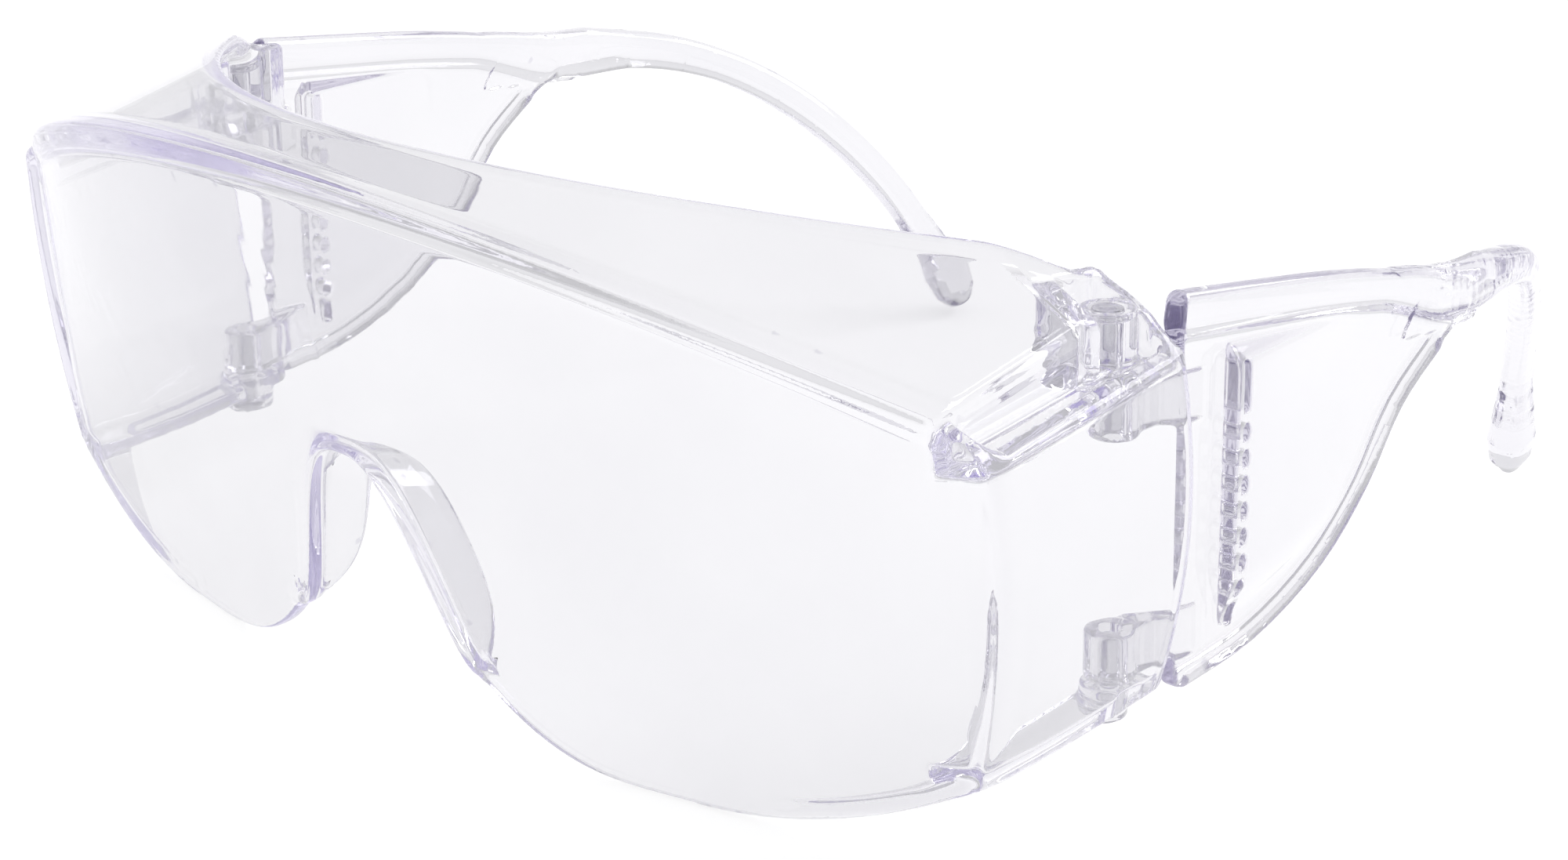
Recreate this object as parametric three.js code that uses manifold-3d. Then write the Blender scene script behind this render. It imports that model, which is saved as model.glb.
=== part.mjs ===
// Clear safety over-glasses: a lens moulding with brow guard and side panels, two folding temples, four pins.
// Millimetres. +X is the wearer's left, -Y is forward, +Z is up.
// Lens lobes and ear tips rest on Z = 0.
import * as THREE from "three";
import { mergeVertices } from "three/addons/utils/BufferGeometryUtils.js";
import Module from "manifold-3d";

const WALL = 2.2; // wall of the lens moulding
const BROW_HALF = 76; // half width of the brow guard
const FRONT_REF = 77; // half width of the front panel at its lower corner
const TOP_Y = -24; // top crease, centre, fore and aft
const TOP_Z = 68.4; // top crease, centre height
const TOP_SWEEP = 23.5; // how far the crease falls back at the sides
const TOP_DROP = 16; // how far it drops at the sides
const BASE_Y = -9.3; // front panel at the resting plane, centre
const BASE_SWEEP = 14.9;
const PANEL_REAR = 34.5; // rear edge of the side panels
const BROW_Y = -12; // rear edge of the brow guard, centre
const BROW_CURVE = 0.0088; // its curvature round the forehead
const ROOF_SLOPE = 0.2; // rise of the brow guard to the rear
const NOSE_HALF = 15.6; // half width of the nose arch at its feet
const NOSE_FOOT = 9; // height of its feet
const NOSE_TOP = 33.6; // height of its crown
const WING_DEPTH = 9.2; // how far the saddle runs back
const FOOT_IN = 38; // flat of each lens lobe that the glasses rest on
const FOOT_OUT = 44;
const AXIS_X = 73.7; // hinge axes, vertical
const AXIS_Y = 29.5;
const LUG_R = 2.8; // temple lugs
const LENS_LUG_R = 3.2; // lens lugs
const PIN_R = 0.9; // pin shank
const HOLE_R = 1.2; // hole round it
const LOW_LUG = [9.6, 14.2]; // lower lens lug, bottom and top
const LOW_EYE = [14.6, 20.2]; // lower temple lug
const HIGH_EYE = [42.2, 47.6]; // upper temple lug
const BOSS_TOP = 56.6; // upper lens boss
const BLADE_OUT = 78.5; // outer face of the temple blade
const BLADE_T = 2;
const BLADE_FRONT = 36.4;
const WELL_IN = 68.2; // inboard face of the hinge well's surround
const WELL_WALL = 1.4;
const WELL_Y = [25.4, 32.4]; // well, fore and aft
const SWING_R = 6.6; // clearance round the hinge axis for the folding blade
const CENTRE_Y = 60.7; // middle of the whole part, fore and aft

const wasm = await Module();
wasm.setup();

// Closed three.js geometry to a solid, turned face out where a mapping has mirrored it.
function solid(geometry) {
  const g = geometry.clone();
  g.deleteAttribute("normal");
  g.deleteAttribute("uv");
  const m = mergeVertices(g, 1e-4);
  const vertProperties = new Float32Array(m.attributes.position.array);
  const triVerts = new Uint32Array(m.index.array);
  const a = new THREE.Vector3();
  const b = new THREE.Vector3();
  const c = new THREE.Vector3();
  let volume = 0;
  for (let i = 0; i < triVerts.length; i += 3) {
    a.fromArray(vertProperties, 3 * triVerts[i]);
    b.fromArray(vertProperties, 3 * triVerts[i + 1]);
    c.fromArray(vertProperties, 3 * triVerts[i + 2]);
    volume += a.dot(b.cross(c));
  }
  if (volume < 0) triVerts.reverse();
  return new wasm.Manifold(new wasm.Mesh({ numProp: 3, vertProperties, triVerts }));
}

// A block of nu x nv x nw cells whose corners (0..1 each way) go where place(u, v, w) says.
function block(nu, nv, nw, place) {
  const g = new THREE.BoxGeometry(1, 1, 1, nu, nv, nw);
  const p = g.attributes.position;
  for (let i = 0; i < p.count; i++) {
    p.setXYZ(i, ...place(p.getX(i) + 0.5, p.getY(i) + 0.5, p.getZ(i) + 0.5));
  }
  return solid(g);
}

// A bar along a curve: half height and half thickness follow t, thickness lies across the temple.
function bar(curve, steps, halfHeight, halfThick, sides = 12) {
  const g = new THREE.CylinderGeometry(1, 1, 1, sides, steps);
  const p = g.attributes.position;
  const soft = (k) => Math.sign(k) * Math.abs(k) ** 0.75;
  for (let i = 0; i < p.count; i++) {
    const t = p.getY(i) + 0.5;
    const at = curve.getPoint(t);
    const along = curve.getTangent(t);
    const across = new THREE.Vector3(1, 0, 0).addScaledVector(along, -along.x).normalize();
    const up = new THREE.Vector3().crossVectors(across, along);
    at.addScaledVector(across, soft(p.getX(i)) * halfThick(t));
    at.addScaledVector(up, soft(p.getZ(i)) * halfHeight(t));
    p.setXYZ(i, at.x, at.y, at.z);
  }
  return solid(g);
}

function upright(x, y, z0, z1, r, sides = 24) {
  const g = new THREE.CylinderGeometry(r, r, z1 - z0, sides);
  g.rotateX(Math.PI / 2);
  g.translate(x, y, (z0 + z1) / 2);
  return solid(g);
}

const join = (list) => list.reduce((all, one) => all.add(one));
const mix = (a, b, t) => a + (b - a) * t;
const clamp = (v) => Math.min(1, Math.max(0, v));

// Piecewise linear value through [t, value] pairs.
function along(table, t) {
  const k = Math.max(1, table.findIndex((row) => row[0] >= t));
  const [t0, v0] = table[k - 1];
  const [t1, v1] = table[k];
  return mix(v0, v1, clamp((t - t0) / (t1 - t0)));
}

// ---- lens moulding -------------------------------------------------------------------------------------
const topY = (x) => TOP_Y + TOP_SWEEP * (x / BROW_HALF) ** 2;
const topZ = (x) => TOP_Z - TOP_DROP * (x / BROW_HALF) ** 2;
const baseY = (x) => BASE_Y + BASE_SWEEP * Math.abs(x / FRONT_REF) ** 1.6;
const frontY = (x, z) => mix(baseY(x), topY(x), Math.max(0, z / topZ(x)) ** 1.15);
// The brow guard droops to the top rear corner of the side panel.
const droop = (x, y) => 0.35 * Math.max(0, y - 22) * clamp((Math.abs(x) - 58) / 12);
const roofZ = (x, y) => topZ(x) + ROOF_SLOPE * (y - topY(x)) - droop(x, y);
const browY = (x) => Math.min(BROW_Y + BROW_CURVE * x * x, PANEL_REAR - 0.3);
const cornerX = (z) => 82.2 - 0.0062 * (z - 36) ** 2;
const cornerY = (z) => 6.8 - 0.12 * z;
const rearX = (z) => 82.3 - 0.0072 * (z - 36) ** 2;
const panelTop = (y) => 47.9 + 0.135 * y;
const panelBottom = (y) => 9.1 + 0.0027 * y * y;

// Lower edge of the front panel: nose arch, then a lobe with a short flat foot.
function bottomZ(x) {
  const a = Math.abs(x);
  if (a < NOSE_HALF) {
    const fall = (1 - Math.cos(Math.PI * (a / NOSE_HALF) ** 1.4)) / 2;
    return mix(NOSE_TOP, NOSE_FOOT, fall);
  }
  if (a < FOOT_IN) return NOSE_FOOT * ((FOOT_IN - a) / (FOOT_IN - NOSE_HALF)) ** 2.6;
  return 0.0087 * Math.max(0, a - FOOT_OUT) ** 2;
}

// Columns of the wall on one side, from the middle of the front to the rear of the side panel.
const FRONT_X = [0, 1.5, 3, 4.5, 6, 7.2, 8.4, 9.6, 10.8, 12, 13.2, 14.4, 15.6, 17, 19, 22, 26, 30, 34, 38, 44,
  49, 54, 59, 64, 69, 73, 76, 77];
const CORNER_STEPS = 4;
const SIDE_STEPS = 7;
const HALF_COLUMNS = FRONT_X.length - 1 + CORNER_STEPS + SIDE_STEPS;
const CORNER_R = 2.8;

// Outer face of the wall at column k (whole or part) and height z, for the +X half.
function wallPoint(k, z) {
  const corner = new THREE.Vector2(cornerX(z), cornerY(z));
  const frontEnd = corner.x - CORNER_R;
  const nFront = FRONT_X.length - 1;
  if (k <= nFront) {
    const i = Math.min(nFront - 1, Math.floor(k));
    const x = (mix(FRONT_X[i], FRONT_X[i + 1], k - i) * frontEnd) / FRONT_REF;
    return new THREE.Vector2(x, frontY(x, z));
  }
  const start = new THREE.Vector2(frontEnd, frontY(frontEnd, z));
  const rear = new THREE.Vector2(rearX(z), PANEL_REAR);
  const turn = corner.clone().lerp(rear, CORNER_R / corner.distanceTo(rear));
  if (k <= nFront + CORNER_STEPS) {
    const t = (k - nFront) / CORNER_STEPS;
    const arc = new THREE.QuadraticBezierCurve(start, corner, turn);
    return arc.getPoint(t);
  }
  return turn.lerp(rear, (k - nFront - CORNER_STEPS) / SIDE_STEPS);
}

function wallTop(k) {
  const nFront = FRONT_X.length - 1;
  if (k <= nFront) {
    const x = FRONT_X[k];
    return x <= BROW_HALF ? topZ(x) : 51.2;
  }
  if (k < nFront + CORNER_STEPS) return mix(51.2, panelTop(5), (k - nFront) / CORNER_STEPS);
  return panelTop(mix(5, PANEL_REAR, (k - nFront - CORNER_STEPS) / SIDE_STEPS));
}

function wallBottom(k) {
  const nFront = FRONT_X.length - 1;
  if (k <= nFront) return bottomZ(FRONT_X[k]);
  if (k < nFront + CORNER_STEPS) return mix(bottomZ(FRONT_REF), panelBottom(6), (k - nFront) / CORNER_STEPS);
  return panelBottom(mix(6, PANEL_REAR, (k - nFront - CORNER_STEPS) / SIDE_STEPS));
}

function wall() {
  return block(2 * HALF_COLUMNS, 9, 1, (u, v, w) => {
    const c = Math.round((2 * u - 1) * HALF_COLUMNS);
    const side = c < 0 ? -1 : 1;
    const k = Math.abs(c);
    const z = mix(wallBottom(k), wallTop(k), v);
    const p = wallPoint(k, z);
    const ahead = wallPoint(Math.min(k + 0.2, HALF_COLUMNS), z);
    const behind = wallPoint(Math.max(k - 0.2, 0), z);
    const run = ahead.sub(behind);
    if (k === 0) run.set(1, 0);
    run.normalize().multiplyScalar(WALL * w);
    return [side * (p.x - run.y), p.y + run.x, z];
  });
}

// Brow guard: from the crease back to the forehead edge.
function roof() {
  return block(46, 6, 1, (u, v, w) => {
    const x = mix(-BROW_HALF, BROW_HALF, u);
    const y = mix(topY(x) + 0.6, browY(x), v);
    return [x, y, roofZ(x, y) - WALL * w];
  });
}

// Rear face of the hinge well, rounded off inboard so that the blade's front edge swings past it.
const wellRear = (x) => {
  const reach = Math.sqrt(Math.max(0, SWING_R ** 2 - Math.max(0, AXIS_X - x) ** 2));
  return Math.min(PANEL_REAR - 0.3, AXIS_Y + reach);
};

// Step down from the brow guard to the recessed ledge over the upper hinge, and the ledge itself.
function ledge(side) {
  const step = block(8, 3, 1, (u, v, w) => {
    const y = mix(6, PANEL_REAR - 0.4, u);
    const z = mix(panelTop(y) - 2.2, roofZ(BROW_HALF, y) - 0.7, v);
    return [side * (BROW_HALF - 0.1 - (WALL - 0.2) * w), y, z];
  });
  const floor = block(8, 2, 1, (u, v, w) => {
    const y = mix(4.6, PANEL_REAR - 0.4, u);
    const out = mix(cornerX(48), rearX(52), clamp((y - 3) / 31));
    return [side * mix(BROW_HALF - WALL, out - 0.9, v), y, panelTop(y) - 1 - 1.5 * w];
  });
  // Well round the upper hinge boss, open to the ledge and closed behind by a rib.
  const surround = block(5, 6, 1, (u, v, w) => {
    const x = mix(WELL_IN, BROW_HALF + 0.4, u);
    const y = mix(WELL_Y[0] - 2, wellRear(x), v);
    return [side * x, y, mix(panelTop(y) - 3.1, roofZ(x, y) - 0.3, w)];
  });
  const rib = block(6, 1, 1, (u, v, w) => {
    const x = mix(WELL_IN, rearX(52) - 0.8, u);
    const y = mix(WELL_Y[1], wellRear(x), v);
    return [side * x, y, mix(50, 58.4 - 0.032 * Math.max(0, x - 66) ** 2, w)];
  });
  const well = block(2, 2, 1, (u, v, w) => {
    const y = mix(WELL_Y[0], WELL_Y[1], v);
    return [side * mix(WELL_IN + WELL_WALL, rearX(52) - 2.4, u), y, mix(panelTop(y) - 1, 75, w)];
  });
  return { solid: join([step, floor, surround, rib]), well };
}

// Inward lip along the bottom of the side panel, running out along the front lobe.
function lip(side) {
  const panel = block(6, 2, 1, (u, v, w) => {
    const y = mix(4.4, PANEL_REAR - 0.4, u);
    const z = panelBottom(y) + 0.2;
    const outer = mix(cornerX(z), rearX(z), clamp((y - 5) / 29)) - 0.9;
    return [side * mix(outer, 71, v), y + 1.5 * v, z + 1.8 * w];
  });
  const front = block(10, 2, 1, (u, v, w) => {
    const x = mix(47, FRONT_REF - 1.8, u);
    const z = bottomZ(x) + 0.2;
    const depth = mix(2.4, 8, u ** 1.3);
    return [side * x, frontY(x, z) + mix(0.9, depth, v), z + 1.8 * w];
  });
  return panel.add(front);
}

// Saddle round the nose: a leaf that leaves the arch edge and runs back, running out at both feet.
function saddle() {
  return block(30, 3, 1, (u, v, w) => {
    const a = 2 * u - 1;
    const x = NOSE_HALF * Math.sin((a * Math.PI) / 2) * 0.985;
    const z = bottomZ(x);
    const lean = Math.sign(a) * 1.25 * Math.min(1, Math.abs(a) * 1.6) ** 1.2;
    const depth = 0.4 + WING_DEPTH * (1 - Math.exp((NOSE_FOOT - 0.5 - z) / 3.5));
    const t = 0.1 + 1.5 * w;
    const drop = 0.32 * depth * v * (1 - a * a);
    return [x + Math.sin(lean) * t, frontY(x, z) + 0.7 + depth * v, z + Math.cos(lean) * t - drop];
  });
}

function lensLugs(side) {
  const x = side * AXIS_X;
  const low = upright(x, AXIS_Y, LOW_LUG[0], LOW_LUG[1], LENS_LUG_R);
  const high = upright(x, AXIS_Y, HIGH_EYE[1] + 0.4, BOSS_TOP, LENS_LUG_R);
  return low.add(high);
}

function lensHoles(side) {
  const x = side * AXIS_X;
  const low = upright(x, AXIS_Y, LOW_LUG[0] - 1, LOW_LUG[1] + 1, HOLE_R);
  const lowHead = upright(x, AXIS_Y, LOW_LUG[0] - 1, LOW_LUG[0] + 1.2, 2.1);
  const high = upright(x, AXIS_Y, HIGH_EYE[1] - 1, BOSS_TOP + 6, HOLE_R);
  const highHead = upright(x, AXIS_Y, BOSS_TOP - 1.2, BOSS_TOP + 6, 2.1);
  return join([low, lowHead, high, highHead]);
}

const SIDES = [1, -1];
const ledges = SIDES.map(ledge);
const lensBody = join([wall(), roof(), saddle(), ...ledges.map((l) => l.solid), ...SIDES.map(lip)])
  .subtract(join(ledges.map((l) => l.well)))
  .add(join(SIDES.map(lensLugs)))
  .subtract(join(SIDES.map(lensHoles)));

// ---- temples -------------------------------------------------------------------------------------------
// Centre line of the top rail, ear bar and hook: x, y, z.
const RAIL = [
  [77.1, 36.5, 54.8],
  [77.1, 50, 52.9],
  [77.1, 64, 50.8],
  [77.1, 76, 48.4],
  [76.9, 86, 45.6],
  [75.9, 94, 44.7],
  [74.1, 101, 44],
  [71.6, 108, 42.4],
  [68.2, 115, 39.5],
  [64.2, 122, 34.9],
  [59.8, 129, 28.2],
  [55.2, 135.4, 19.4],
  [51.4, 140.6, 9.2],
  [49.2, 143.7, 0.7],
];
const RAIL_HALF_HEIGHT = [
  [0, 2.6], [0.22, 2.2], [0.3, 3.2], [0.38, 3.5], [0.46, 2.7],
  [0.6, 2.3], [0.88, 2.3], [0.95, 3.4], [0.98, 2.9], [1, 1.6],
];
const RAIL_HALF_THICK = [[0, 1.6], [0.3, 1.6], [0.5, 1.9], [0.88, 1.9], [0.95, 2.8], [0.98, 2.4], [1, 1.3]];

const railCurve = new THREE.CatmullRomCurve3(RAIL.map((p) => new THREE.Vector3(...p)));

// Outline of the blade in the side view, drawn as (y, z).
function bladeShape() {
  const s = new THREE.Shape();
  s.moveTo(BLADE_FRONT, 56.2);
  s.lineTo(BLADE_FRONT, 13);
  s.quadraticCurveTo(BLADE_FRONT, 11.4, BLADE_FRONT + 2, 11.4);
  s.bezierCurveTo(50, 12.6, 62, 17.5, 69, 24.4);
  s.bezierCurveTo(74, 29.5, 75, 36.6, 84, 39.6);
  s.lineTo(88, 42);
  s.lineTo(84, 46.2);
  s.lineTo(64, 50.8);
  return s;
}

function blade() {
  const options = { depth: BLADE_T, bevelEnabled: false, curveSegments: 7 };
  const g = new THREE.ExtrudeGeometry(bladeShape(), options);
  // The outline's first axis turns to +Y and its second to +Z.
  g.applyMatrix4(new THREE.Matrix4().set(0, 0, 1, BLADE_OUT - BLADE_T, 1, 0, 0, 0, 0, 1, 0, 0, 0, 0, 0, 1));
  return solid(g);
}

// Bead along the lower edge of the blade.
function bead() {
  const x = BLADE_OUT - BLADE_T / 2;
  const points = [[38, 12.4], [50, 14.1], [62, 19.4], [70, 26.6], [76, 34.6], [84, 40.6]];
  const curve = new THREE.CatmullRomCurve3(points.map(([y, z]) => new THREE.Vector3(x, y, z)));
  return bar(curve, 14, () => 1.1, () => 1.5, 8);
}

const SCOOP_Y = [44, 70];
const scoopLow = (y) => 17.2 + 0.0125 * (y - 40) ** 2;
const scoopHigh = (y) => 50.2 - 0.09 * (y - 42);

// Vent scoop: a pane proud in front and flush behind, with a broad bevel below and a steep one above.
function scoop() {
  return block(5, 10, 1, (u, v, w) => {
    const y = mix(SCOOP_Y[0], SCOOP_Y[1], u);
    const z = mix(scoopLow(y), scoopHigh(y), v);
    const pane = mix(2, 0, u);
    const proud = Math.min(pane, 0.4 * (z - scoopLow(y)), 0.9 * (scoopHigh(y) - z));
    return [mix(BLADE_OUT - 1, BLADE_OUT + 0.05 + proud, w), y, z];
  });
}

// Louvre slots behind the scoop's front edge, with a plain slit below and above them.
const LOUVRES = 7;
const LOUVRE_LOW = 21.3;
const LOUVRE_PITCH = 3.07;
const SLITS = [[16.6, 19.3], [42.1, 48]];
function louvres() {
  const slot = (y0, y1, z0, z1) => {
    const g = new THREE.BoxGeometry(8, y1 - y0, z1 - z0);
    g.translate(BLADE_OUT, (y0 + y1) / 2, (z0 + z1) / 2);
    return solid(g);
  };
  const cuts = SLITS.map(([z0, z1]) => slot(45, 46.2, z0, z1));
  for (let i = 0; i < LOUVRES; i++) {
    const z = LOUVRE_LOW + LOUVRE_PITCH * i;
    cuts.push(slot(45.1, 46.5, z - 1.1, z + 1.1));
  }
  return join(cuts);
}

// Blank raised plate on the ear bar.
function plate() {
  return block(6, 1, 1, (u, v, w) => {
    const y = mix(76, 92, u) + 3 * v;
    const face = BLADE_OUT - 0.0061 * Math.max(0, y - 78) ** 2;
    return [face - 1.2 + 1.45 * w, y, mix(42.4, 47, v) - 0.1 * (y - 76)];
  });
}

// Neck from a hinge lug back to the blade.
function neck([z0, z1]) {
  const s = new THREE.Shape();
  s.moveTo(AXIS_X - 1.8, AXIS_Y - 0.5);
  s.lineTo(AXIS_X + 1.9, AXIS_Y - 0.5);
  s.lineTo(AXIS_X + 1.9, 34.9);
  s.lineTo(78.2, 37.4);
  s.lineTo(78.2, 41);
  s.lineTo(76.2, 41);
  s.lineTo(AXIS_X - 1.8, 33.8);
  const g = new THREE.ExtrudeGeometry(s, { depth: z1 - z0, bevelEnabled: false });
  g.translate(0, 0, z0);
  return solid(g).add(upright(AXIS_X, AXIS_Y, z0, z1, LUG_R));
}

const halfHeight = (t) => along(RAIL_HALF_HEIGHT, t);
const halfThick = (t) => along(RAIL_HALF_THICK, t);
const rail = bar(railCurve, 44, halfHeight, halfThick);
const templeBody = join([blade(), rail, bead(), scoop(), plate(), neck(LOW_EYE), neck(HIGH_EYE)])
  .subtract(louvres())
  .subtract(upright(AXIS_X, AXIS_Y, LOW_EYE[0] - 1, HIGH_EYE[1] + 1, HOLE_R));

// ---- pins ----------------------------------------------------------------------------------------------
// A headed pin: shank through lens lug and temple lug, head in the counterbore of the lens lug.
function pin(z0, z1, headHigh) {
  const h = 0.8;
  const profile = headHigh
    ? [[0, z0], [PIN_R, z0], [PIN_R, z1 - h], [1.8, z1 - h], [1.8, z1], [0, z1]]
    : [[0, z0], [1.8, z0], [1.8, z0 + h], [PIN_R, z0 + h], [PIN_R, z1], [0, z1]];
  const g = new THREE.LatheGeometry(profile.map(([r, z]) => new THREE.Vector2(r, z)), 20);
  g.rotateX(Math.PI / 2);
  return solid(g);
}

// ---- assembly ------------------------------------------------------------------------------------------
const clear = (name) => new THREE.MeshStandardMaterial({
  name, color: 0xeeeef8, roughness: 0.06, metalness: 0, transparent: true, opacity: 0.35,
});

function mesh(name, body, material) {
  const made = body.getMesh();
  const g = new THREE.BufferGeometry();
  g.setAttribute("position", new THREE.BufferAttribute(made.vertProperties, 3));
  g.setIndex(new THREE.BufferAttribute(made.triVerts, 1));
  g.computeVertexNormals();
  const m = new THREE.Mesh(g, material);
  m.name = name;
  return m;
}

const glasses = new THREE.Group();
glasses.name = "safety_glasses";
glasses.position.y = -CENTRE_Y;
glasses.add(mesh("lens", lensBody, clear("clear_lens")));

for (const side of SIDES) {
  const hand = side > 0 ? "left" : "right";
  const body = side > 0 ? templeBody : templeBody.mirror([1, 0, 0]);
  glasses.add(mesh("temple_" + hand, body, clear("clear_temple")));
  const pins = {
    lower: pin(LOW_LUG[0] + 0.1, LOW_EYE[1] - 0.6, false),
    upper: pin(HIGH_EYE[0] + 0.6, BOSS_TOP - 0.1, true),
  };
  for (const [place, shape] of Object.entries(pins)) {
    const m = mesh("hinge_pin_" + hand + "_" + place, shape, clear("clear_pin"));
    m.position.set(side * AXIS_X, AXIS_Y, 0);
    glasses.add(m);
  }
}

export default glasses;
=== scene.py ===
"""Clear safety over-glasses: fine moulded meshes, clear polycarbonate, pale studio.

Shapes are written as fields in millimetres, negative inside, and meshed once each.
+X is the wearer's left, -Y is forward, +Z is up; field coordinates are CENTRE_Y ahead of the frame's.
"""
import math

import bpy
import numpy as np
from mathutils import Matrix, Vector


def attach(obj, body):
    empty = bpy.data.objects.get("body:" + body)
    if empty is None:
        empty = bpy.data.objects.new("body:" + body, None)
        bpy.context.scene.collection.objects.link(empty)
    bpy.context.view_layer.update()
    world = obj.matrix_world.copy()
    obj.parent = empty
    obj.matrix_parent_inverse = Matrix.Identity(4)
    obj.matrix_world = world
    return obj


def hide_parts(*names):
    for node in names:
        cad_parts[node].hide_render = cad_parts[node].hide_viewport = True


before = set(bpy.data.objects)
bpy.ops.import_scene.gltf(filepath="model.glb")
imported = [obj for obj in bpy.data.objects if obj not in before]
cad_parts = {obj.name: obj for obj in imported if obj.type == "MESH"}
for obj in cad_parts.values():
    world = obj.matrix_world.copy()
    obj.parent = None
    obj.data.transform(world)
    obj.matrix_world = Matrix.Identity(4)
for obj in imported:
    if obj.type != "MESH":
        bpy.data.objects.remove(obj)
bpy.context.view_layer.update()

MM = 0.001
CENTRE_Y = 60.7  # frame y = field y - CENTRE_Y

# ---- driving dimensions, mm ----------------------------------------------------------------------------
WALL = 2.2
BROW_HALF = 76.0
FRONT_REF = 77.0
TOP_Y, TOP_Z, TOP_SWEEP, TOP_DROP = -24.0, 68.4, 23.5, 16.0
BASE_Y, BASE_SWEEP = -9.3, 14.9
PANEL_REAR = 34.5
BROW_Y, BROW_CURVE, ROOF_SLOPE = -12.0, 0.0088, 0.2
NOSE_HALF, NOSE_FOOT, NOSE_TOP, WING_DEPTH = 15.6, 9.0, 33.6, 9.2
FOOT_IN, FOOT_OUT = 38.0, 44.0
AXIS_X, AXIS_Y = 73.7, 29.5
LUG_R, LENS_LUG_R, PIN_R, PIN_HEAD_R, HOLE_R, SINK_R = 2.8, 3.2, 0.9, 1.8, 1.2, 2.1
LOW_LUG, LOW_EYE, HIGH_EYE = (9.6, 14.2), (14.6, 20.2), (42.2, 47.6)
BOSS_TOP = 56.6
WELL_IN, WELL_WALL, WELL_Y, SWING_R = 68.2, 1.4, (25.4, 32.4), 6.6
BLADE_OUT, BLADE_T, BLADE_FRONT = 78.5, 2.0, 36.4
CREASE_R = 0.9  # outer radius of the crease between front and brow guard
CORNER_R = 0.8  # of the upright corner between front and side panel
INNER_R = 2.0  # of that corner inside, where the wall is thicker
RIM_R = 0.7  # rounding of the moulded rims
FILLET_R = 0.7
SOFT = 1.8  # how far a rounded edge's easing reaches, in radii


# ---- field tools ---------------------------------------------------------------------------------------
def clamp(v):
    return np.clip(v, 0.0, 1.0)


def mix(a, b, t):
    return a + (b - a) * t


def smooth(t):
    t = clamp(t)
    return t * t * (3 - 2 * t)


def both(a, b, r=RIM_R):
    """Where a and b overlap, with the shared edge rounded to about r and eased into the flats."""
    reach = SOFT * r
    return np.maximum(a, b) + np.maximum(reach - np.abs(a - b), 0) ** 3 / (6 * reach**2)


def either(a, b, r=FILLET_R):
    """a and b joined, with a fillet of r in the corner between them."""
    return -both(-a, -b, r)


def less(a, b, r=RIM_R):
    """a with b taken away."""
    return both(a, -b, r)


def span(v, low, high):
    return np.maximum(low - v, v - high)


def brick(x, y, z, xs, ys, zs, r=RIM_R):
    return both(both(span(x, *xs), span(y, *ys), r), span(z, *zs), r)


def upright(x, y, z, radius, zs, r=0.25):
    return both(np.hypot(x - AXIS_X, y - AXIS_Y) - radius, span(z, *zs), r)


# ---- lens moulding -------------------------------------------------------------------------------------
def top_y(x):
    return TOP_Y + TOP_SWEEP * (x / BROW_HALF) ** 2


def top_z(x):
    return TOP_Z - TOP_DROP * (x / BROW_HALF) ** 2


def front_y(x, z):
    """Outer face of the front panel; past its corner column it hardly falls back any further."""
    x = np.minimum(x, FRONT_REF) + 0.4 * np.maximum(x - FRONT_REF, 0)
    base = BASE_Y + BASE_SWEEP * (x / FRONT_REF) ** 1.6
    return mix(base, top_y(x), np.maximum(z / top_z(x), 0) ** 1.15)


def roof_z(x, y):
    droop = 0.35 * np.maximum(y - 22, 0) * clamp((x - 58) / 12)
    return top_z(x) + ROOF_SLOPE * (y - top_y(x)) - droop


def side_x(y, z):
    """Outer face of the side panel, from its front corner to its rear edge."""
    bow = (z - 36) ** 2
    corner_y = 6.8 - 0.12 * z
    t = (y - corner_y) / (PANEL_REAR - corner_y)
    return mix(82.2 - 0.0062 * bow, 82.3 - 0.0072 * bow, t)


def panel_top(y):
    return 47.9 + 0.135 * y


def panel_bottom(y):
    return 9.1 + 0.0027 * y * y


def bottom_z(x):
    """Lower edge of the front panel: nose arch, lobe, and the rise to the corner."""
    fall = (1 - np.cos(np.pi * clamp(x / NOSE_HALF) ** 1.4)) / 2
    arch = mix(NOSE_TOP, NOSE_FOOT, fall)
    lobe = NOSE_FOOT * clamp((FOOT_IN - x) / (FOOT_IN - NOSE_HALF)) ** 2.6
    rise = 0.0087 * np.maximum(x - FOOT_OUT, 0) ** 2
    return np.where(x < NOSE_HALF, arch, lobe + rise)


def over_bottom(x, z):
    """Signed distance, about, below the front panel's lower edge."""
    slope = (bottom_z(x + 0.05) - bottom_z(np.maximum(x - 0.05, 0))) / 0.1
    return (bottom_z(x) - z) / np.sqrt(1 + slope**2)


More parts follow.
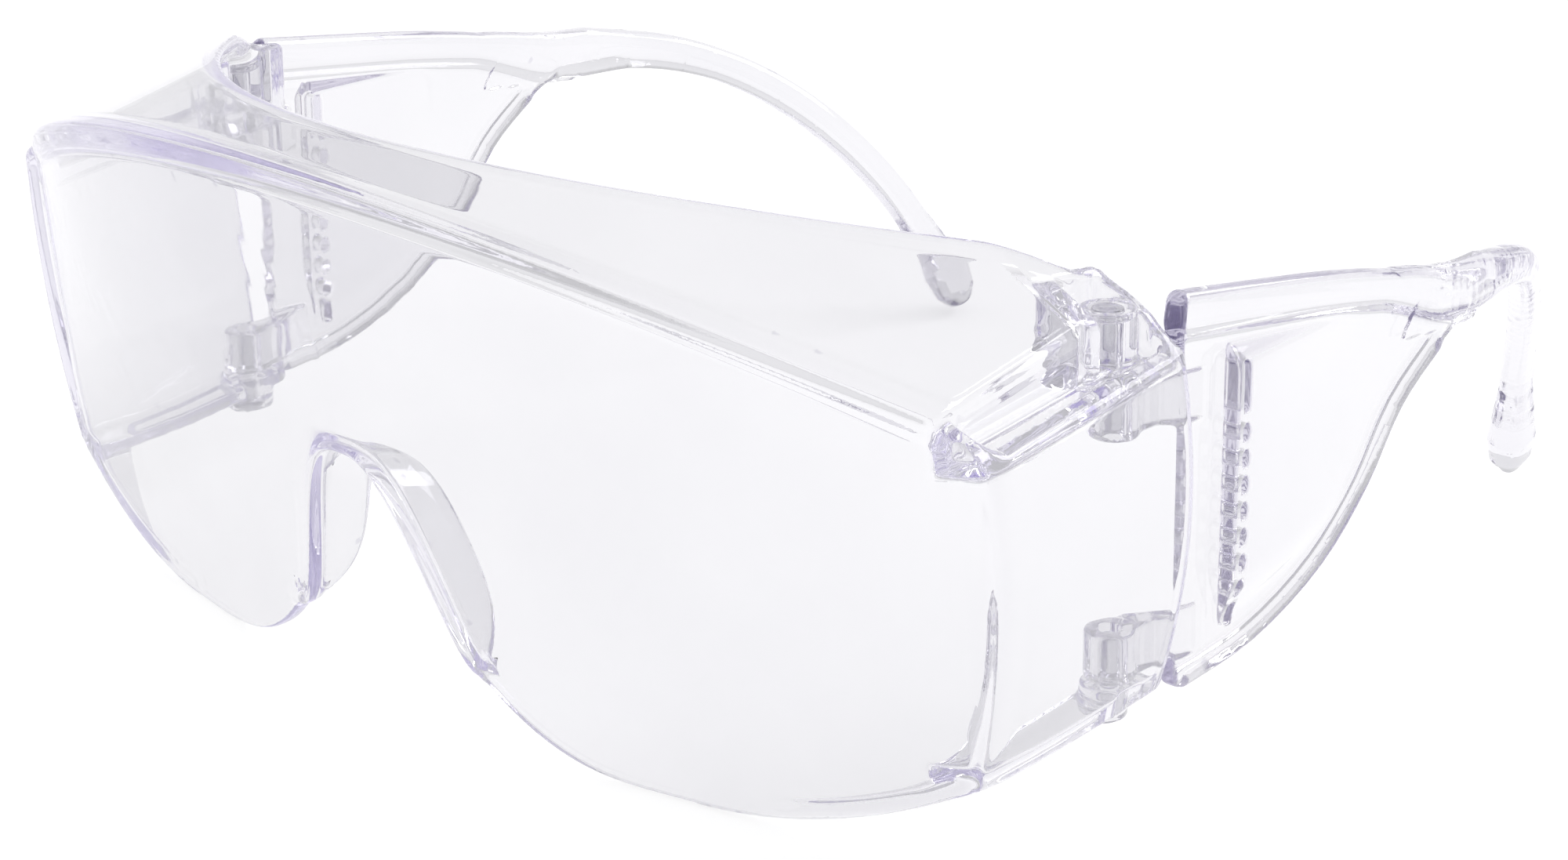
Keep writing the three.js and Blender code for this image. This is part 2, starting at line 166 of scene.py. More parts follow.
def lens(x, y, z):
    x = np.abs(x)
    ahead = front_y(x, z)
    sweep = mix(0.31, 0.62, clamp(z / 52)) * np.minimum(x / FRONT_REF, 1)
    f_front = (ahead - y) / np.sqrt(1.04 + sweep**2)
    f_side = (x - side_x(y, z)) / np.sqrt(1 + (0.0125 * (z - 36)) ** 2)
    fall = 0.0071 * x
    f_roof = (z - roof_z(x, y)) / np.sqrt(1.03 + fall**2)
    skin = both(f_front, f_side, CORNER_R)
    hood = both(skin, f_roof, CREASE_R)

    # front and side wall, below the recessed ledge outboard of the brow guard
    low = over_bottom(np.minimum(x, FRONT_REF), z)
    low = mix(low, panel_bottom(y) - z, smooth((y - ahead - 1.5) / 3) * smooth((x - 70) / 5))
    wall = both(hood, -both(f_front + WALL, f_side + WALL, INNER_R), RIM_R)
    wall = both(wall, low)
    wall = both(wall, y - PANEL_REAR)
    rise = 3.8 * clamp(1 - (x - BROW_HALF) / 6) * clamp(1 - (y - ahead - 1.6) / 2.5)
    over = z - panel_top(y) - rise
    wall = less(wall, both(-over, BROW_HALF - x, 0.2), 0.5)
    shoulder = both(f_side, over, 2.0)
    wall = np.where(x > BROW_HALF + 3, np.maximum(wall, shoulder), wall)

    # brow guard
    brow_y = np.minimum(BROW_Y + BROW_CURVE * x * x, PANEL_REAR - 0.3)
    brow = (y - brow_y) / np.sqrt(1 + (2 * BROW_CURVE * x) ** 2)
    roof = both(hood, -(f_roof + WALL))
    roof = both(roof, brow, 1.2)
    roof = both(roof, x - BROW_HALF, 0.7)
    shape = either(wall, roof, 1.1)

    # recess beside the brow guard: upright step and narrow ledge
    recess = both(BROW_HALF - x, panel_top(y) - 1 - z, 0.6)
    tray = both(-recess, recess - 1.9, 0.4)
    tray = both(tray, skin + 0.6)
    tray = both(tray, f_roof + 0.3)
    tray = both(tray, np.maximum(ahead + 0.9 - y, y - PANEL_REAR + 0.3))
    tray = both(tray, panel_top(y) - 3 - z)
    shape = either(shape, tray, 0.5)

    # well round the upper hinge boss
    reach = AXIS_Y + np.sqrt(np.maximum(SWING_R**2 - np.maximum(AXIS_X - x, 0) ** 2, 0))
    rear = np.minimum(PANEL_REAR - 0.3, reach)
    surround = both(span(x, WELL_IN, BROW_HALF + 0.4), np.maximum(WELL_Y[0] - 2 - y, y - rear))
    surround = both(surround, np.maximum(panel_top(y) - 3.1 - z, f_roof + 0.3))
    shape = either(shape, surround, 0.5)
    rib_top = 58.4 - 0.032 * np.maximum(x - 66, 0) ** 2
    rib = both(span(x, WELL_IN, 80.0), np.maximum(WELL_Y[1] - y, y - rear))
    rib = both(rib, np.maximum(50 - z, z - rib_top))
    rib = both(rib, skin + 0.5)
    shape = either(shape, rib, 0.5)
    well = brick(x, y, z, (WELL_IN + WELL_WALL, 78.6), WELL_Y, (50.9, 75.0), 0.5)
    shape = less(shape, well, 0.4)

    # inward lips under the side panel and the outer part of the front
    lip_z = panel_bottom(y) + 1.1
    lip = both(np.abs(z - lip_z) - 0.95, 71.2 - x)
    lip = both(lip, skin + 0.6)
    lip = both(lip, y - PANEL_REAR + 0.4)
    depth = mix(1.2, 8.0, clamp((x - 47) / 28) ** 1.3)
    shelf = both(np.abs(z - bottom_z(x) - 1.1) - 0.95, y - ahead - depth)
    shelf = both(shelf, skin + 0.5)
    shelf = both(shelf, span(x, 44.0, 76.0))
    shape = either(shape, either(lip, shelf, 1.2), 0.6)

    # nose saddle: a leaf along the arch, running back
    back = np.maximum(y - ahead, 0)
    crown = 1 - np.minimum(x / NOSE_HALF, 1) ** 2
    under = over_bottom(x, z + 0.32 * back * crown)
    depth = WING_DEPTH * (1 - np.exp((NOSE_FOOT - 0.5 - np.maximum(z, 0)) / 3.5))
    leaf = both(np.abs(under + 0.85) - 0.8, back - depth)
    leaf = both(leaf, skin + 0.4)
    leaf = both(leaf, np.maximum(x - 17, NOSE_FOOT - 0.6 - z))
    shape = either(shape, leaf, 0.9)

    # hinge lugs and their holes
    lugs = np.minimum(
        upright(x, y, z, LENS_LUG_R, LOW_LUG, 0.4),
        upright(x, y, z, LENS_LUG_R, (HIGH_EYE[1] + 0.4, BOSS_TOP), 0.4),
    )
    shape = either(shape, lugs, 0.4)
    shape = less(shape, upright(x, y, z, HOLE_R, (LOW_LUG[0] - 2, LOW_LUG[1] + 2)), 0.15)
    shape = less(shape, upright(x, y, z, SINK_R, (LOW_LUG[0] - 2, LOW_LUG[0] + 1.2)), 0.15)
    shape = less(shape, upright(x, y, z, HOLE_R, (HIGH_EYE[1] - 1, BOSS_TOP + 6)), 0.15)
    shape = less(shape, upright(x, y, z, SINK_R, (BOSS_TOP - 1.2, BOSS_TOP + 6)), 0.15)
    return shape


# ---- temple --------------------------------------------------------------------------------------------
# centre line of the top rail, ear bar and hook
RAIL = np.array([
    (77.1, 36.5, 54.8), (77.1, 50, 52.9), (77.1, 64, 50.8), (77.1, 76, 48.4), (76.9, 86, 45.6),
    (75.9, 94, 44.7), (74.1, 101, 44), (71.6, 108, 42.4), (68.2, 115, 39.5), (64.2, 122, 34.9),
    (59.8, 129, 28.2), (55.2, 135.4, 19.4), (51.4, 140.6, 9.2), (49.2, 143.7, 0.7),
])
# half height and half thickness along it: shares of its length, and the values there
RAIL_HIGH = (
    (0, 0.22, 0.3, 0.38, 0.46, 0.6, 0.88, 0.95, 0.98, 1),
    (2.6, 2.2, 3.2, 3.5, 2.7, 2.3, 2.3, 3.4, 2.9, 1.6),
)
RAIL_THICK = ((0, 0.3, 0.5, 0.88, 0.95, 0.98, 1), (1.6, 1.6, 1.9, 1.9, 2.8, 2.4, 1.3))
# centre line of the bead along the blade's lower edge, as y, z
BEAD = ((38, 12.4), (50, 14.1), (62, 19.4), (70, 26.6), (76, 34.6), (84, 40.6))
SCOOP_Y = (44.0, 70.0)
LOUVRES, LOUVRE_PITCH, LOUVRE_LOW = 7, 3.07, 21.3
LOUVRE_Y = (45.1, 46.5)
SLITS = ((16.6, 19.3), (42.1, 48.0))  # plain slits below and above the louvres


def scoop_low(y):
    """Lower edge of the vent scoop."""
    return 17.2 + 0.0125 * (y - 40) ** 2


def scoop_high(y):
    """Upper edge of the vent scoop."""
    return 50.2 - 0.09 * (y - 42)


FAR = 7.0  # a swept bar's field isn't worked out further off than this


def catmull(points, steps):
    """Points along a centripetal Catmull-Rom curve through the given ones, and their parameters."""
    p = np.vstack([2 * points[0] - points[1], points, 2 * points[-1] - points[-2]])
    out = []
    for i in range(len(points) - 1):
        a, b, c, d = p[i:i + 4]
        ta = 0.0
        tb = ta + np.linalg.norm(b - a) ** 0.5
        tc = tb + np.linalg.norm(c - b) ** 0.5
        td = tc + np.linalg.norm(d - c) ** 0.5
        for t in np.linspace(tb, tc, steps, endpoint=False):
            ab = mix(a, b, (t - ta) / (tb - ta))
            bc = mix(b, c, (t - tb) / (tc - tb))
            cd = mix(c, d, (t - tc) / (td - tc))
            abc = mix(ab, bc, (t - ta) / (tc - ta))
            bcd = mix(bc, cd, (t - tb) / (td - tb))
            out.append(mix(abc, bcd, (t - tb) / (tc - tb)))
    out.append(points[-1])
    return np.array(out)


RAIL_LINE = catmull(RAIL, 5)
BEAD_LINE = catmull(np.array([(BLADE_OUT - BLADE_T / 2, y, z) for y, z in BEAD]), 4)


def swept(x, y, z, line, high, thick, power=2.67):
    """Bar along a polyline: superelliptic section, thickness square to the run and nearly along x."""
    points = np.stack([x.ravel(), y.ravel(), z.ravel()], -1)
    best = np.full(x.size, FAR**2)
    out = np.full(x.size, FAR)
    last = len(line) - 1
    for i in range(last):
        a, b = line[i], line[i + 1]
        near = np.nonzero((points[:, 1] > a[1] - FAR) & (points[:, 1] < b[1] + FAR))[0]
        p = points[near]
        run = b - a
        length = np.linalg.norm(run)
        t_raw = (p - a) @ run / length**2
        t = clamp(t_raw)
        off = p - (a + t[:, None] * run)
        d = (off**2).sum(1)
        along = run / length
        across = np.array([1.0, 0, 0]) - along * along[0]
        across /= np.linalg.norm(across)
        up = np.cross(across, along)
        share = (i + t) / last
        ht = np.interp(share, *thick)
        hh = np.interp(share, *high)
        q = ((np.abs(off @ across) / ht) ** power + (np.abs(off @ up) / hh) ** power) ** (1 / power)
        f = (q - 1) * np.minimum(ht, hh)
        if i == last - 1:
            f = both(f, (t_raw - 1) * length, 1.0)
        if i == 0:
            f = both(f, -t_raw * length, 0.5)
        closer = d < best[near]
        out[near[closer]] = f[closer]
        best[near[closer]] = d[closer]
    return out.reshape(x.shape)


def bezier(p0, p1, p2, p3, n=16):
    """n points along a cubic Bezier curve."""
    t = np.linspace(0, 1, n)[:, None]
    p0, p1, p2, p3 = (np.array(p, float) for p in (p0, p1, p2, p3))
    return (1 - t) ** 3 * p0 + 3 * t * (1 - t) ** 2 * p1 + 3 * t**2 * (1 - t) * p2 + t**3 * p3


BLADE_LOW = np.vstack([
    [(36.4, 13.0), (36.6, 12.0), (37.4, 11.5)],
    bezier((38.4, 11.4), (50, 12.6), (62, 17.5), (69, 24.4)),
    bezier((69, 24.4), (74, 29.5), (75, 36.6), (84, 39.6))[1:],
    [(88, 42), (90, 43.5)],
])


def temple(x, y, z):
    low = np.interp(y, BLADE_LOW[:, 0], BLADE_LOW[:, 1])
    slope = (np.interp(y + 0.3, BLADE_LOW[:, 0], BLADE_LOW[:, 1]) - low) / 0.3
    under = (low - z) / np.sqrt(1 + slope**2)
    high = np.interp(y, (36.4, 64, 84, 90), (56.2, 50.8, 46.2, 43.5))
    blade = both(span(x, BLADE_OUT - BLADE_T, BLADE_OUT), both(under, z - high, 1.0), 0.4)
    blade = both(blade, BLADE_FRONT - y, 0.5)
    rail = swept(x, y, z, RAIL_LINE, RAIL_HIGH, RAIL_THICK)
    shape = either(blade, rail, 0.8)
    bead = swept(x, y, z, BEAD_LINE, ((0, 1), (1.1, 1.1)), ((0, 1), (1.5, 1.5)), 2.2)
    shape = either(shape, bead, 0.5)

    # vent scoop: a pane proud in front and flush behind, with a broad bevel below and a steep one above
    pane = x - BLADE_OUT - mix(2.0, -0.3, (y - SCOOP_Y[0]) / (SCOOP_Y[1] - SCOOP_Y[0]))
    bevel_low = (x - BLADE_OUT - 0.4 * (z - scoop_low(y))) / 1.08
    bevel_high = (x - BLADE_OUT - 0.9 * (scoop_high(y) - z)) / 1.35
    scoop = both(both(pane, bevel_low, 0.6), bevel_high, 0.6)
    scoop = both(scoop, np.maximum(SCOOP_Y[0] - y, BLADE_OUT - 1 - x), 0.4)
    shape = either(shape, scoop, 0.3)

    # blank raised plate on the ear bar
    face = BLADE_OUT - 0.0061 * np.maximum(y - 78, 0) ** 2
    dip = 0.1 * (y - 76)
    label = both(span(z + dip, 42.4, 47.0), span(y - 0.65 * (z + dip - 42.4), 76.0, 92.0), 0.6)
    label = both(label, span(x, face - 1.2, face + 0.25), 0.2)
    shape = either(shape, label, 0.15)

    # necks from the hinge eyes back to the blade
    for zs in (LOW_EYE, HIGH_EYE):
        outer = np.interp(y, (AXIS_Y, 34.9, 37.4, 41), (AXIS_X + 1.9, AXIS_X + 1.9, 78.2, 78.2))
        inner = np.interp(y, (AXIS_Y, 33.8, 41), (AXIS_X - 1.8, AXIS_X - 1.8, 76.2))
        neck = both(np.maximum(inner - x, x - outer) * 0.85, span(y, AXIS_Y - 0.4, 41.0), 0.4)
        neck = both(neck, span(z, *zs), 0.5)
        eye = upright(x, y, z, LUG_R, zs, 0.45)
        shape = either(shape, either(neck, eye, 0.5), 0.5)

    # louvre slots
    step = np.clip(np.round((z - LOUVRE_LOW) / LOUVRE_PITCH), 0, LOUVRES - 1)
    mid = LOUVRE_LOW + LOUVRE_PITCH * step
    slot = both(span(y, *LOUVRE_Y), np.abs(z - mid) - 1.1, 0.9)
    for zs in SLITS:
        slot = np.minimum(slot, both(span(y, LOUVRE_Y[0], LOUVRE_Y[0] + 1.2), span(z, *zs), 0.5))
    shape = less(shape, slot, 0.25)
    shape = less(shape, upright(x, y, z, HOLE_R, (LOW_EYE[0] - 2, HIGH_EYE[1] + 2)), 0.15)
    return shape


# ---- hinge pins ----------------------------------------------------------------------------------------
LOW_PIN = (LOW_LUG[0] + 0.1, LOW_EYE[1] - 0.6)
HIGH_PIN = (HIGH_EYE[0] + 0.6, BOSS_TOP - 0.1)
PIN_HEAD = 0.8


def low_pin(x, y, z):
    head = upright(x, y, z, PIN_HEAD_R, (LOW_PIN[0], LOW_PIN[0] + PIN_HEAD), 0.2)
    return either(head, upright(x, y, z, PIN_R, LOW_PIN, 0.25), 0.15)


def high_pin(x, y, z):
    head = upright(x, y, z, PIN_HEAD_R, (HIGH_PIN[1] - PIN_HEAD, HIGH_PIN[1]), 0.2)
    return either(head, upright(x, y, z, PIN_R, HIGH_PIN, 0.25), 0.15)


# ---- meshing -------------------------------------------------------------------------------------------
CORNERS = [(i, j, k) for i in (0, 1) for j in (0, 1) for k in (0, 1)]
COARSE = 5  # fine cells to one coarse cell


def sample(field, axes):
    """Field on the grid, worked out only near the surface and filled with its sign elsewhere."""
    coarse = [a[::COARSE] for a in axes]
    step = (axes[0][1] - axes[0][0]) * COARSE
    rough = field(*np.meshgrid(*coarse, indexing="ij"))
    near = np.abs(rough) < step * 1.6
    grown = near.copy()
    for axis in range(3):
        for way in (-1, 1):
            grown |= np.roll(near, way, axis)
    for axis in range(3):
        rough = np.repeat(rough, COARSE, axis)
        grown = np.repeat(grown, COARSE, axis)
    cut = tuple(slice(0, len(a)) for a in axes)
    values = rough[cut].copy()
    at = np.nonzero(grown[cut])
    values[at] = field(axes[0][at[0]], axes[1][at[1]], axes[2][at[2]])
    return values


def gradient(field, p, step=0.02):
    out = np.empty_like(p)
    for axis in range(3):
        up, down = p.copy(), p.copy()
        up[:, axis] += step
        down[:, axis] -= step
        out[:, axis] = (field(*up.T) - field(*down.T)) / (2 * step)
    return out


def settle(field, p, reach, rounds):
    """Moves points onto the surface."""
    for _ in range(rounds):
        g = gradient(field, p)
        move = field(*p.T)[:, None] * g / np.maximum((g**2).sum(1), 1e-3)[:, None]
        size = np.linalg.norm(move, axis=1, keepdims=True)
        p = p - move * np.minimum(1, reach / np.maximum(size, 1e-9))
    return p


def surface_net(values, axes):
    """One vertex to each cell that the surface crosses, one quad to each grid edge that crosses it."""
    inside = values < 0
    n = values.shape
    cells = np.zeros([s - 1 for s in n], np.int8)
    for i, j, k in CORNERS:
        cells += inside[i:n[0] - 1 + i, j:n[1] - 1 + j, k:n[2] - 1 + k]
    active = np.nonzero((cells > 0) & (cells < 8))
    index = np.full(cells.shape, -1, np.int32)
    index[active] = np.arange(len(active[0]))
    base = np.stack(active, 1)
    total = np.zeros(base.shape)
    count = np.zeros(len(base))
    for a in CORNERS:
        for axis in range(3):
            if a[axis]:
                continue
            b = list(a)
            b[axis] = 1
            va = values[tuple((base + a).T)]
            vb = values[tuple((base + b).T)]
            cross = (va < 0) != (vb < 0)
            t = np.where(cross, va / np.where(cross, va - vb, 1), 0)
            point = base + np.array(a, float)
            point[:, axis] += t
            total[cross] += point[cross]
            count[cross] += 1
    points = total / count[:, None]
    start = np.array([a[0] for a in axes])
    step = np.array([a[1] - a[0] for a in axes])
    points = start + points * step
    quads = []
    for axis in range(3):
        u, v = (axis + 1) % 3, (axis + 2) % 3
        low = [slice(1, -1)] * 3
        high = [slice(1, -1)] * 3
        low[axis] = slice(0, -1)
        high[axis] = slice(1, None)
        a, b = inside[tuple(low)], inside[tuple(high)]
        for flip, mask in ((False, a & ~b), (True, ~a & b)):
            at = np.stack(np.nonzero(mask), 1)
            at[:, u] += 1
            at[:, v] += 1
            ring = []
            for du, dv in ((0, 0), (1, 0), (1, 1), (0, 1)):
                c = at.copy()
                c[:, u] -= 1 - du
                c[:, v] -= 1 - dv
                ring.append(index[tuple(c.T)])
            ring = np.stack(ring, 1)
            quads.append(ring[:, ::-1] if flip else ring)
    return points, np.vstack(quads)


def grid(low, high, step):
    return [np.arange(a, b + step, step, dtype=np.float32) for a, b in zip(low, high)]


def make_mesh(name, points, faces):
    me = bpy.data.meshes.new(name)
    me.vertices.add(len(points))
    me.vertices.foreach_set("co", points.astype(np.float32).ravel())
    me.loops.add(faces.size)
    me.loops.foreach_set("vertex_index", faces.astype(np.int32).ravel())
    me.polygons.add(len(faces))
    sides = faces.shape[1]
    me.polygons.foreach_set("loop_start", np.arange(0, faces.size, sides, dtype=np.int32))
    me.polygons.foreach_set("loop_total", np.full(len(faces), sides, np.int32))
    me.update()
    me.validate()
    return me


BEND = 0.9993  # vertex normals that differ by more than this cosine mark a curved place
MARGIN = 3  # rings of cells kept round it
FLAT_SHARE = 0.07  # share of the triangles left on the flats


def curved_places(points, quads):
    """Vertices on fillets and rims, with a margin of cells round them."""
    a, b, c, d = (points[quads[:, i]] for i in range(4))
    face = np.cross(c - a, d - b)
    normal = np.zeros_like(points)
    for i in range(4):
        for k in range(3):
            normal[:, k] += np.bincount(quads[:, i], face[:, k], len(points))
    normal /= np.maximum(np.linalg.norm(normal, axis=1, keepdims=True), 1e-12)
    curved = np.zeros(len(points), bool)
    for i in range(4):
        u, v = quads[:, i], quads[:, (i + 1) % 4]
        bent = (normal[u] * normal[v]).sum(1) < BEND
        curved[u[bent]] = True
        curved[v[bent]] = True
    for _ in range(MARGIN):
        curved[quads[curved[quads].any(1)]] = True
    return curved


def thin(me, curved):
    """Collapses a dense mesh where it is flat."""
    ob = bpy.data.objects.new("thin", me)
    bpy.context.scene.collection.objects.link(ob)
    ob.vertex_groups.new(name="flat").add(np.flatnonzero(~curved).tolist(), 1.0, "REPLACE")
    mod = ob.modifiers.new("thin", "DECIMATE")
    mod.vertex_group = "flat"
    mod.ratio = curved.mean() + FLAT_SHARE * (1 - curved.mean())
    bpy.context.view_layer.update()
    out = bpy.data.meshes.new_from_object(ob.evaluated_get(bpy.context.evaluated_depsgraph_get()))
    bpy.data.objects.remove(ob)
    bpy.data.meshes.remove(me)
    return out


def read(me):
    p = np.empty(len(me.vertices) * 3)
    me.vertices.foreach_get("co", p)
    f = np.empty(len(me.polygons) * 3, np.int32)
    me.polygons.foreach_get("vertices", f)
    return p.reshape(-1, 3), f.reshape(-1, 3)


def moulded(field, low, high, step):
    """Points, triangles and normals of a field's surface, in field coordinates."""
    axes = grid(low, high, step)
    points, quads = surface_net(sample(field, axes), axes)
    points = settle(field, points, step, 2)
    tris = np.vstack([quads[:, [0, 1, 2]], quads[:, [0, 2, 3]]])
    points, tris = read(thin(make_mesh("net", points, tris), curved_places(points, quads)))
    points = settle(field, points, step, 2)
    normals = gradient(field, points)
    normals /= np.maximum(np.linalg.norm(normals, axis=1, keepdims=True), 1e-9)
    return points, tris, normals


def piece(name, body, node, made, material, mirror=False):
    points, tris, normals = (a.copy() for a in made)
    if mirror:
        points[:, 0] *= -1
        normals[:, 0] *= -1
        tris = tris[:, ::-1]
    points[:, 1] -= CENTRE_Y
    me = make_mesh(name, points * MM, tris)
    me.polygons.foreach_set("use_smooth", np.ones(len(tris), bool))
    me.normals_split_custom_set_from_vertices(normals.tolist())
    me.materials.append(material)
    ob = bpy.data.objects.new(name, me)
    bpy.context.scene.collection.objects.link(ob)
    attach(ob, body)
    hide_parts(node)
    return ob


# ---- materials -----------------------------------------------------------------------------------------
EDGE_SHADE = (0.74, 0.73, 0.79)  # painted shade: what the body colour is multiplied by on the sharpest edges and creases, standing in for the dark lines refraction gives there
POLYCARBONATE_IOR = 1.585


def clear_plastic(name, slot, dark, light, rough, bump_mm, flow_scale, absorb, density):
    """Clear moulded polycarbonate: faint colour drift, painted violet-grey shade on edges and creases,
    flow ripple, scuffed edges, violet depth tint.
    """
    mat = bpy.data.materials.new(name)
    mat["slot"] = slot
    mat.use_nodes = True
    nt = mat.node_tree
    nt.nodes.clear()
    new, link = nt.nodes.new, nt.links.new
    out = new("ShaderNodeOutputMaterial")
    bsdf = new("ShaderNodeBsdfPrincipled")
    link(bsdf.outputs[0], out.inputs["Surface"])
    bsdf.inputs["Transmission Weight"].default_value = 1.0
    bsdf.inputs["IOR"].default_value = POLYCARBONATE_IOR
    where = new("ShaderNodeTexCoord")

    drift = new("ShaderNodeTexNoise")
    drift.inputs["Scale"].default_value = 38.0
    drift.inputs["Detail"].default_value = 3.0
    link(where.outputs["Object"], drift.inputs["Vector"])
    tone = new("ShaderNodeValToRGB")
    tone.color_ramp.elements[0].position = 0.32
    tone.color_ramp.elements[0].color = (*dark, 1)
    tone.color_ramp.elements[1].position = 0.68
    tone.color_ramp.elements[1].color = (*light, 1)
    link(drift.outputs["Fac"], tone.inputs["Fac"])

    # painted shade: edges and creases are darkened to a faint violet-grey, standing in for the dark lines
    # that refraction and internal reflection give there
    geometry = new("ShaderNodeNewGeometry")
    edge_shade_ramp = new("ShaderNodeValToRGB")
    for e in (edge_shade_ramp.color_ramp.elements.new(0.47), edge_shade_ramp.color_ramp.elements.new(0.53)):
        e.color = (1, 1, 1, 1)
    for at, e in ((0.42, edge_shade_ramp.color_ramp.elements[0]), (0.6, edge_shade_ramp.color_ramp.elements[-1])):
        e.position = at
        e.color = (*EDGE_SHADE, 1)
    link(geometry.outputs["Pointiness"], edge_shade_ramp.inputs["Fac"])
    # body colour: the drift tone multiplied by the painted edge shade
    tone_and_shade = new("ShaderNodeMix")
    tone_and_shade.data_type = "RGBA"
    tone_and_shade.blend_type = "MULTIPLY"
    tone_and_shade.inputs["Factor"].default_value = 1.0
    link(tone.outputs["Color"], next(s for s in tone_and_shade.inputs if s.identifier == "A_Color"))
    link(edge_shade_ramp.outputs["Color"], next(s for s in tone_and_shade.inputs if s.identifier == "B_Color"))
    link(next(s for s in tone_and_shade.outputs if s.identifier == "Result_Color"), bsdf.inputs["Base Color"])

    # handling scuffs, heavier where the surface is convex
    fine = new("ShaderNodeTexNoise")
    fine.inputs["Scale"].default_value = 420.0
    fine.inputs["Detail"].default_value = 5.0
    link(where.outputs["Object"], fine.inputs["Vector"])
    edge = new("ShaderNodeMapRange")
    edge.inputs["From Min"].default_value = 0.52
    edge.inputs["From Max"].default_value = 0.62
    edge.inputs["To Max"].default_value = rough * 1.5
    link(geometry.outputs["Pointiness"], edge.inputs["Value"])
    scuff = new("ShaderNodeMapRange")
    scuff.inputs["From Min"].default_value = 0.4
    scuff.inputs["From Max"].default_value = 0.75
    scuff.inputs["To Min"].default_value = rough * 0.5
    scuff.inputs["To Max"].default_value = rough * 1.6
    link(fine.outputs["Fac"], scuff.inputs["Value"])
    both_rough = new("ShaderNodeMath")
    both_rough.operation = "ADD"
    link(scuff.outputs["Result"], both_rough.inputs[0])
    link(edge.outputs["Result"], both_rough.inputs[1])
    link(both_rough.outputs[0], bsdf.inputs["Roughness"])

    # flow ripple of the moulding
    flow = new("ShaderNodeTexNoise")
    flow.inputs["Scale"].default_value = flow_scale
    flow.inputs["Detail"].default_value = 2.0
    flow.inputs["Distortion"].default_value = 0.6
    link(where.outputs["Object"], flow.inputs["Vector"])
    bump = new("ShaderNodeBump")
    bump.inputs["Strength"].default_value = 1.0
    bump.inputs["Distance"].default_value = bump_mm * MM
    link(flow.outputs["Fac"], bump.inputs["Height"])
    link(bump.outputs["Normal"], bsdf.inputs["Normal"])

    depth = new("ShaderNodeVolumeAbsorption")
    depth.inputs["Color"].default_value = (*absorb, 1)
    depth.inputs["Density"].default_value = density
    link(depth.outputs[0], out.inputs["Volume"])
    return mat


lens_clear = clear_plastic(
    "lens_clear", "clear_lens", dark=(0.795, 0.792, 0.812), light=(0.825, 0.822, 0.84),
    rough=0.02, bump_mm=0.02, flow_scale=55.0, absorb=(0.62, 0.54, 0.9), density=6.0)
temple_clear = clear_plastic(
    "temple_clear", "clear_temple", dark=(0.81, 0.808, 0.826), light=(0.84, 0.837, 0.852),
    rough=0.05, bump_mm=0.05, flow_scale=90.0, absorb=(0.62, 0.58, 0.74), density=22.0)
pin_clear = clear_plastic(
    "pin_clear", "clear_pin", dark=(0.86, 0.858, 0.875), light=(0.9, 0.898, 0.91),
    rough=0.09, bump_mm=0.02, flow_scale=300.0, absorb=(0.62, 0.55, 0.9), density=9.0)


# ---- pieces --------------------------------------------------------------------------------------------
CELL = 0.36  # grid step of the mouldings, mm
PIN_CELL = 0.2

shell = moulded(lens, (-84.5, -26.5, -1.5), (84.5, 36.5, 72.5), CELL)
piece("lens_shell", "lens", "lens", shell, lens_clear)
arm = moulded(temple, (46, 25.5, -1.2), (82, 146, 59), CELL)
low = moulded(low_pin, (71, 27, 9), (76.4, 32, 20.4), PIN_CELL)
high = moulded(high_pin, (71, 27, 42), (76.4, 32, 57.2), PIN_CELL)
for hand, mirror in (("left", False), ("right", True)):
    piece(f"temple_{hand}_shell", f"temple_{hand}", f"temple_{hand}", arm, temple_clear, mirror)
    piece(f"pin_{hand}_lower", "lens", f"hinge_pin_{hand}_lower", low, pin_clear, mirror)
    piece(f"pin_{hand}_upper", "lens", f"hinge_pin_{hand}_upper", high, pin_clear, mirror)


# ---- floor, light, camera ------------------------------------------------------------------------------
FLOOR_HALF = 6.0
FLOOR_Z = -0.0004  # a hair below the lobes and ear tips
FLOOR_GLOW = 0.72
# brightness of the surround against the height of the direction, 0 at the horizon, 1 overhead
SURROUND = ((0.0, 0.9), (0.06, 0.96), (0.3, 1.0), (0.48, 0.76), (0.6, 0.64), (0.86, 0.64), (1.0, 0.8))


def plain_floor():
    me = bpy.data.meshes.new("floor")
    r = FLOOR_HALF
    me.from_pydata([(-r, -r, 0), (r, -r, 0), (r, r, 0), (-r, r, 0)], [], [(0, 1, 2, 3)])
    ob = bpy.data.objects.new("floor", me)
    ob.location.z = FLOOR_Z
    bpy.context.scene.collection.objects.link(ob)
    mat = bpy.data.materials.new("floor")
    mat.use_nodes = True
    bsdf = mat.node_tree.nodes["Principled BSDF"]
    bsdf.inputs["Base Color"].default_value = (0.5, 0.5, 0.5, 1)
    bsdf.inputs["Roughness"].default_value = 0.9
    bsdf.inputs["Specular IOR Level"].default_value = 0.0
    bsdf.inputs["Emission Color"].default_value = (1, 1, 1, 1)
    bsdf.inputs["Emission Strength"].default_value = FLOOR_GLOW
    me.materials.append(mat)


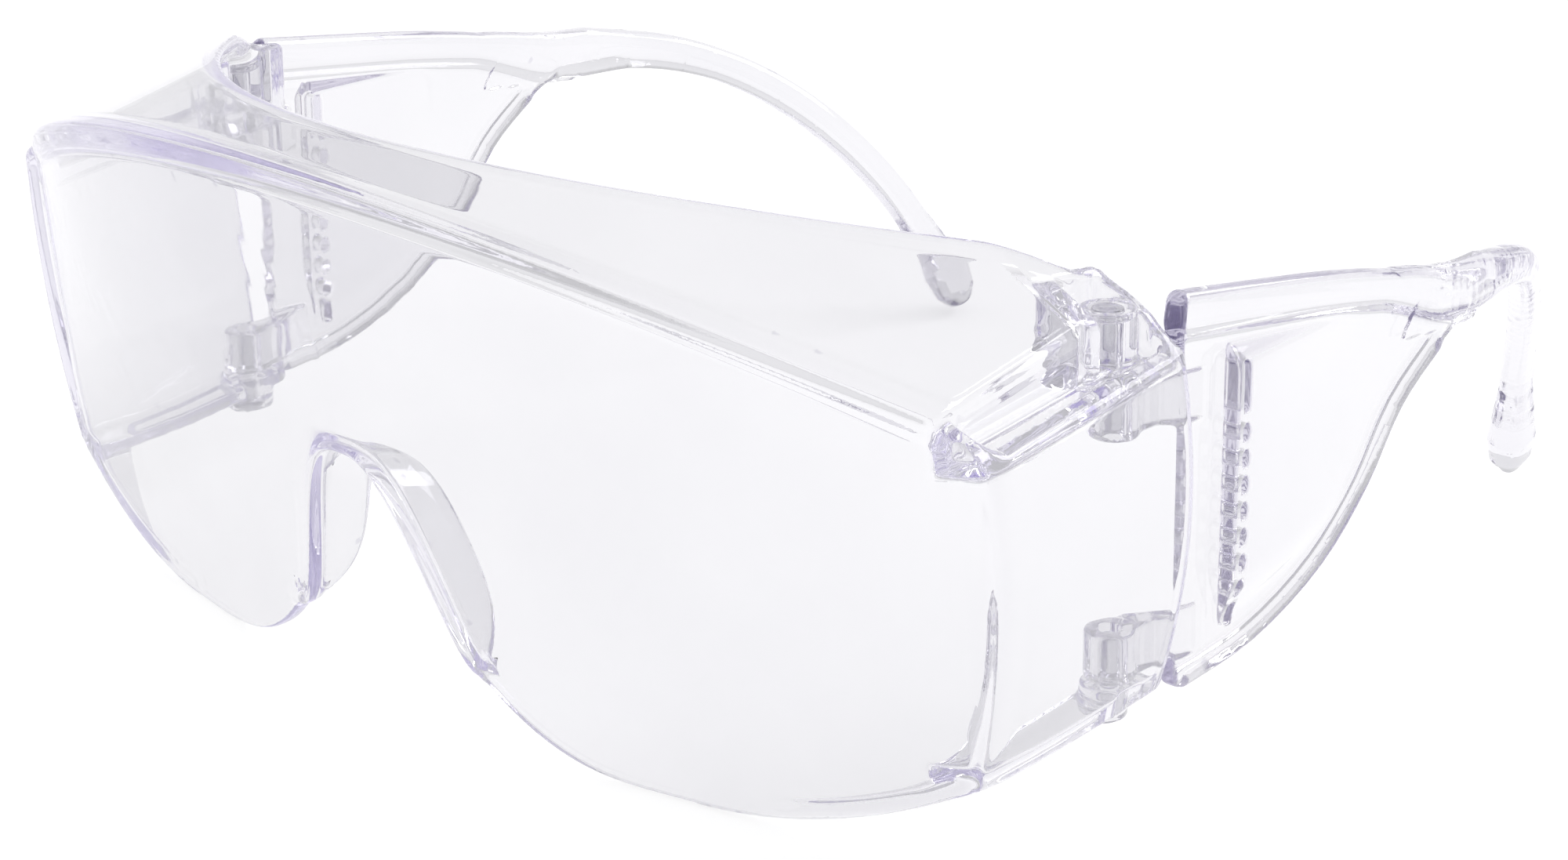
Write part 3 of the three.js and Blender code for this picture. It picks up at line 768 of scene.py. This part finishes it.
def studio_world():
    """White surround with a pale grey band higher up, so that clear edges read."""
    world = bpy.data.worlds.new("studio")
    bpy.context.scene.world = world
    world.use_nodes = True
    nt = world.node_tree
    nt.nodes.clear()
    new, link = nt.nodes.new, nt.links.new
    out = new("ShaderNodeOutputWorld")
    back = new("ShaderNodeBackground")
    link(back.outputs[0], out.inputs[0])
    where = new("ShaderNodeTexCoord")
    split = new("ShaderNodeSeparateXYZ")
    link(where.outputs["Generated"], split.inputs[0])
    ramp = new("ShaderNodeValToRGB")
    while len(ramp.color_ramp.elements) < len(SURROUND):
        ramp.color_ramp.elements.new(0.5)
    for e, (at, v) in zip(ramp.color_ramp.elements, SURROUND):
        e.position = at
        e.color = (v, v, v * 1.01, 1)
    link(split.outputs["Z"], ramp.inputs["Fac"])
    link(ramp.outputs["Color"], back.inputs["Color"])
    back.inputs["Strength"].default_value = 1.0


def soft_light(name, at, aim, size, watts):
    """Rectangular area light at one point, turned to another."""
    data = bpy.data.lights.new(name, "AREA")
    data.shape = "RECTANGLE"
    data.size, data.size_y = size
    data.energy = watts
    ob = bpy.data.objects.new(name, data)
    ob.location = at
    ob.rotation_euler = (Vector(aim) - Vector(at)).to_track_quat("-Z", "Y").to_euler()
    bpy.context.scene.collection.objects.link(ob)


# camera, metres and degrees; azimuth 0 looks along +Y
CAMERA_AT = Vector((0.3339, -0.3469, 0.1929))
CAMERA_AZIMUTH, CAMERA_ELEVATION, CAMERA_ROLL = 44.3, 20.2, -0.36
FOCAL_MM, SENSOR_MM = 93.4, 36.0


def camera():
    a, e, r = (math.radians(v) for v in (CAMERA_AZIMUTH, CAMERA_ELEVATION, CAMERA_ROLL))
    ahead = Vector((-math.sin(a) * math.cos(e), math.cos(a) * math.cos(e), -math.sin(e)))
    level = Vector((math.cos(a), math.sin(a), 0))
    above = level.cross(ahead)
    right = level * math.cos(r) + above * math.sin(r)
    up = -level * math.sin(r) + above * math.cos(r)
    data = bpy.data.cameras.new("camera")
    data.lens, data.sensor_width = FOCAL_MM, SENSOR_MM
    data.clip_start, data.clip_end = 0.01, 50
    ob = bpy.data.objects.new("camera", data)
    turn = Matrix((right, up, -ahead)).transposed()
    ob.matrix_world = Matrix.Translation(CAMERA_AT) @ turn.to_4x4()
    bpy.context.scene.collection.objects.link(ob)
    bpy.context.scene.camera = ob


plain_floor()
studio_world()
soft_light("bar", (0.48, 0.86, 0.82), (0.07, -0.03, 0.04), (0.9, 0.45), 5.5)
camera()

# light is trapped in clear edges for many bounces, so the limits are high
scene = bpy.context.scene
scene.view_settings.view_transform = "Standard"
scene.cycles.max_bounces = 64
scene.cycles.transmission_bounces = 64
scene.cycles.glossy_bounces = 64
scene.cycles.use_denoising = True
